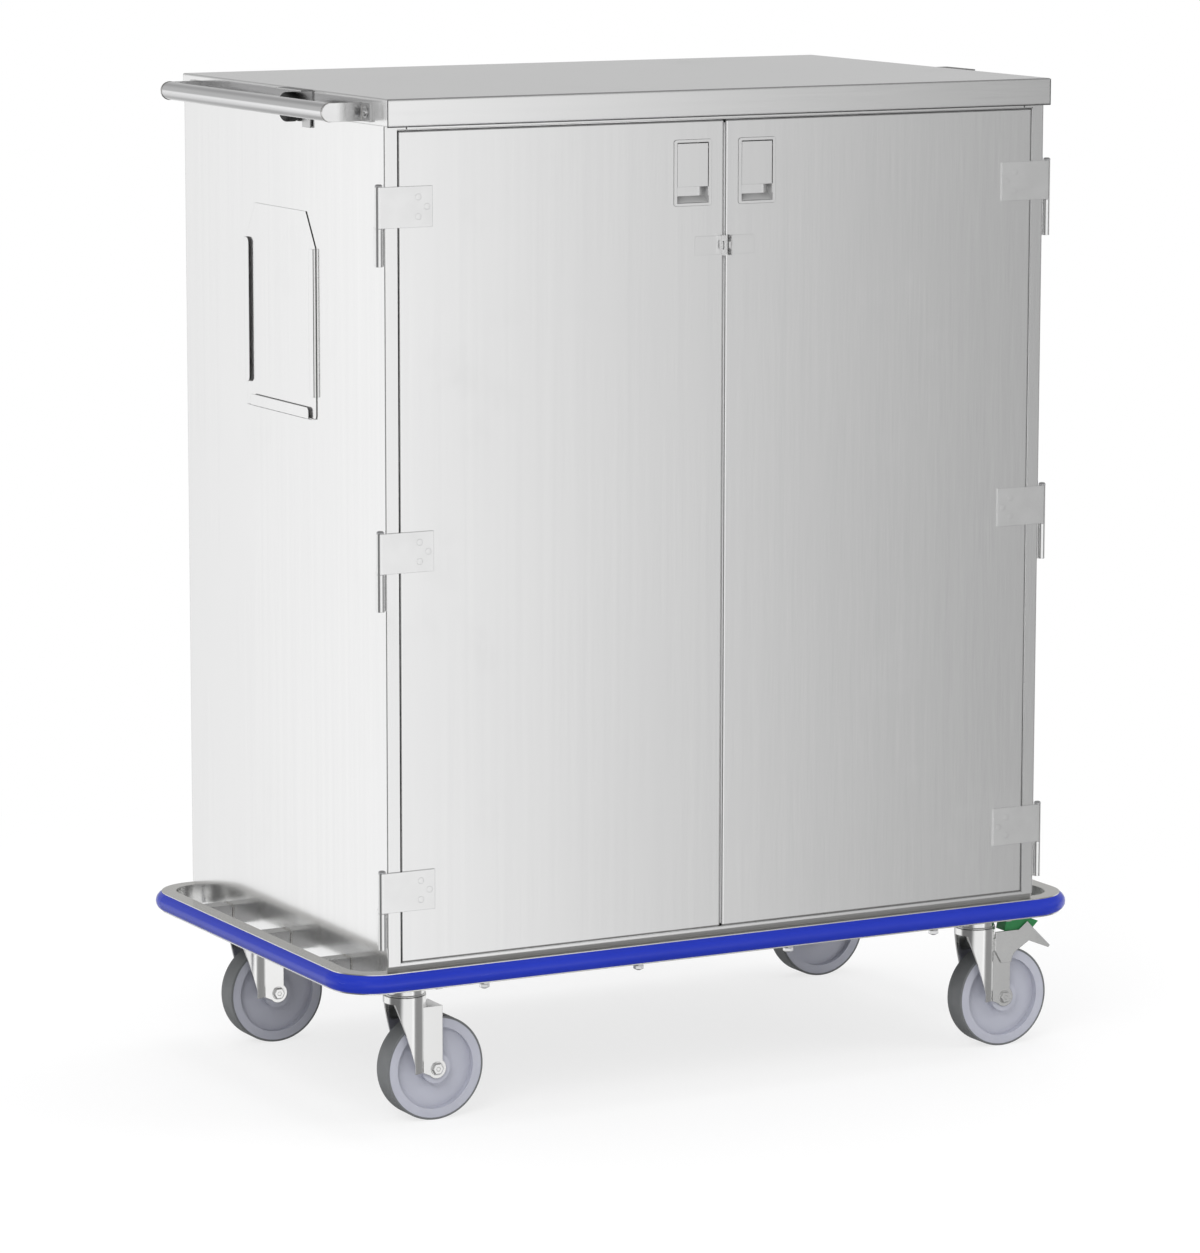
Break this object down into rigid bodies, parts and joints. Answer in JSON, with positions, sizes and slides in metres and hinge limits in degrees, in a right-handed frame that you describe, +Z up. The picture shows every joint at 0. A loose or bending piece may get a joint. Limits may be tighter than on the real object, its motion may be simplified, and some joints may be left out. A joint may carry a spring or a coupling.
{
  "type": "closed case cart",
  "caption": "Closed stainless case cart with hinged doors that fold right back, paddle latches, swivel casters, bumper rail and push handle.",
  "frame": {"origin": "on the floor, under the middle of the cart", "axes": "+Z up; the doors face -Y; the push handle is on the -X end"},
  "size_m": [1.229, 0.7244, 1.4645],
  "materials": {
    "brushed_stainless": "fine vertical brushed grain, bright",
    "cast_stainless": "smooth satin",
    "rail_steel": "satin bent channel",
    "bright_zinc": "bright zinc plate",
    "blue_bumper": "smooth blue vinyl",
    "black_rubber": "matt",
    "seal_rubber": "matt",
    "wheel_nylon": "moulded pale blue-grey",
    "tread_grey": "non-marking grey",
    "green_plastic": "moulded green"
  },
  "bodies": {
    "cart": {"side_panel_left": "brushed_stainless", "side_panel_right": "brushed_stainless", "back_panel": "brushed_stainless", "top_cap": "brushed_stainless", "header_rail": "brushed_stainless", "floor_deck": "brushed_stainless", "base_frame": "rail_steel", "outriggers": "rail_steel", "bumper_rail": "rail_steel", "bumper_strip": "blue_bumper", "underside_bolts": "bright_zinc", "shelf_standards": "cast_stainless", "shelf_lower": "brushed_stainless", "shelf_upper": "brushed_stainless", "shelf_clips": "cast_stainless", "door_seal": "seal_rubber", "handle_tube": "brushed_stainless", "handle_arms": "brushed_stainless", "handle_bolts": "bright_zinc", "card_holder": "brushed_stainless", "holdback_brackets": "brushed_stainless", "holdback_bumpers": "black_rubber", "hinge_cabinet_leaves": "cast_stainless", "hinge_pins": "bright_zinc", "caster_plates": "cast_stainless", "kingpins": "bright_zinc"},
    "door_left": {"door_skin_left": "brushed_stainless", "door_liner_left": "brushed_stainless", "door_hinges_left": "cast_stainless", "hinge_screws_left": "bright_zinc", "latch_cup_left": "brushed_stainless", "seal_hasp_left": "brushed_stainless"},
    "paddle_left": {"latch_paddle_left": "brushed_stainless"},
    "bolt_left": {"latch_bolt_left": "bright_zinc"},
    "door_right": {"door_skin_right": "brushed_stainless", "door_liner_right": "brushed_stainless", "door_hinges_right": "cast_stainless", "hinge_screws_right": "bright_zinc", "latch_cup_right": "brushed_stainless", "seal_hasp_right": "brushed_stainless"},
    "paddle_right": {"latch_paddle_right": "brushed_stainless"},
    "bolt_right": {"latch_bolt_right": "bright_zinc"},
    "swivel_front_left": {"fork_front_left": "cast_stainless", "axle_front_left": "bright_zinc"},
    "rolling_front_left": {"wheel_front_left": "wheel_nylon", "tread_front_left": "tread_grey"},
    "swivel_front_right": {"fork_front_right": "cast_stainless", "axle_front_right": "bright_zinc"},
    "rolling_front_right": {"wheel_front_right": "wheel_nylon", "tread_front_right": "tread_grey"},
    "swivel_rear_left": {"fork_rear_left": "cast_stainless", "axle_rear_left": "bright_zinc"},
    "rolling_rear_left": {"wheel_rear_left": "wheel_nylon", "tread_rear_left": "tread_grey"},
    "swivel_rear_right": {"fork_rear_right": "cast_stainless", "axle_rear_right": "bright_zinc"},
    "rolling_rear_right": {"wheel_rear_right": "wheel_nylon", "tread_rear_right": "tread_grey"},
    "lock_lever": {"lock_lever": "cast_stainless", "lock_tab": "green_plastic"}
  },
  "joints": [
    {"name": "door_swing_left", "type": "hinge", "parent": "cart", "child": "door_left", "pos_m": [-0.5465, -0.3339, 0.861], "axis": [0, 0, -1], "range_deg": [0, 266.5]},
    {"name": "paddle_swing_left", "type": "hinge", "parent": "door_left", "child": "paddle_left", "pos_m": [-0.0525, -0.3339, 1.3814], "axis": [-1, 0, 0], "range_deg": [0, 35], "stiffness_Nm_per_rad": 0.12, "springref_deg": -20.05},
    {"name": "bolt_slide_left", "type": "slide", "parent": "door_left", "child": "bolt_left", "axis": [0, 0, -1], "range_m": [0, 0.01]},
    {"name": "door_swing_right", "type": "hinge", "parent": "cart", "child": "door_right", "pos_m": [0.5465, -0.3339, 0.861], "axis": [0, 0, 1], "range_deg": [0, 266.5]},
    {"name": "paddle_swing_right", "type": "hinge", "parent": "door_right", "child": "paddle_right", "pos_m": [0.0525, -0.3339, 1.3814], "axis": [-1, 0, 0], "range_deg": [0, 35], "stiffness_Nm_per_rad": 0.12, "springref_deg": -20.05},
    {"name": "bolt_slide_right", "type": "slide", "parent": "door_right", "child": "bolt_right", "axis": [0, 0, -1], "range_m": [0, 0.01]},
    {"name": "swivel_front_left", "type": "hinge", "parent": "cart", "child": "swivel_front_left", "pos_m": [-0.48, -0.2685, 0.185], "axis": [0, 0, 1], "continuous": true},
    {"name": "roll_front_left", "type": "hinge", "parent": "swivel_front_left", "child": "rolling_front_left", "pos_m": [-0.44, -0.2685, 0.0762], "axis": [0, 1, 0], "continuous": true},
    {"name": "swivel_front_right", "type": "hinge", "parent": "cart", "child": "swivel_front_right", "pos_m": [0.48, -0.2685, 0.185], "axis": [0, 0, 1], "continuous": true},
    {"name": "roll_front_right", "type": "hinge", "parent": "swivel_front_right", "child": "rolling_front_right", "pos_m": [0.52, -0.2685, 0.0762], "axis": [0, 1, 0], "continuous": true},
    {"name": "swivel_rear_left", "type": "hinge", "parent": "cart", "child": "swivel_rear_left", "pos_m": [-0.48, 0.2685, 0.185], "axis": [0, 0, 1], "continuous": true},
    {"name": "roll_rear_left", "type": "hinge", "parent": "swivel_rear_left", "child": "rolling_rear_left", "pos_m": [-0.44, 0.2685, 0.0762], "axis": [0, 1, 0], "continuous": true},
    {"name": "swivel_rear_right", "type": "hinge", "parent": "cart", "child": "swivel_rear_right", "pos_m": [0.48, 0.2685, 0.185], "axis": [0, 0, 1], "continuous": true},
    {"name": "roll_rear_right", "type": "hinge", "parent": "swivel_rear_right", "child": "rolling_rear_right", "pos_m": [0.52, 0.2685, 0.0762], "axis": [0, 1, 0], "continuous": true},
    {"name": "lock_pedal", "type": "hinge", "parent": "swivel_front_right", "child": "lock_lever", "pos_m": [0.512, -0.2924, 0.16], "axis": [0, 1, 0], "range_deg": [0, 18]}
  ],
  "couplings": [
    {"joint": "bolt_slide_left", "follows": "paddle_swing_left", "m_per_rad": 0.016},
    {"joint": "bolt_slide_right", "follows": "paddle_swing_right", "m_per_rad": 0.016}
  ]
}
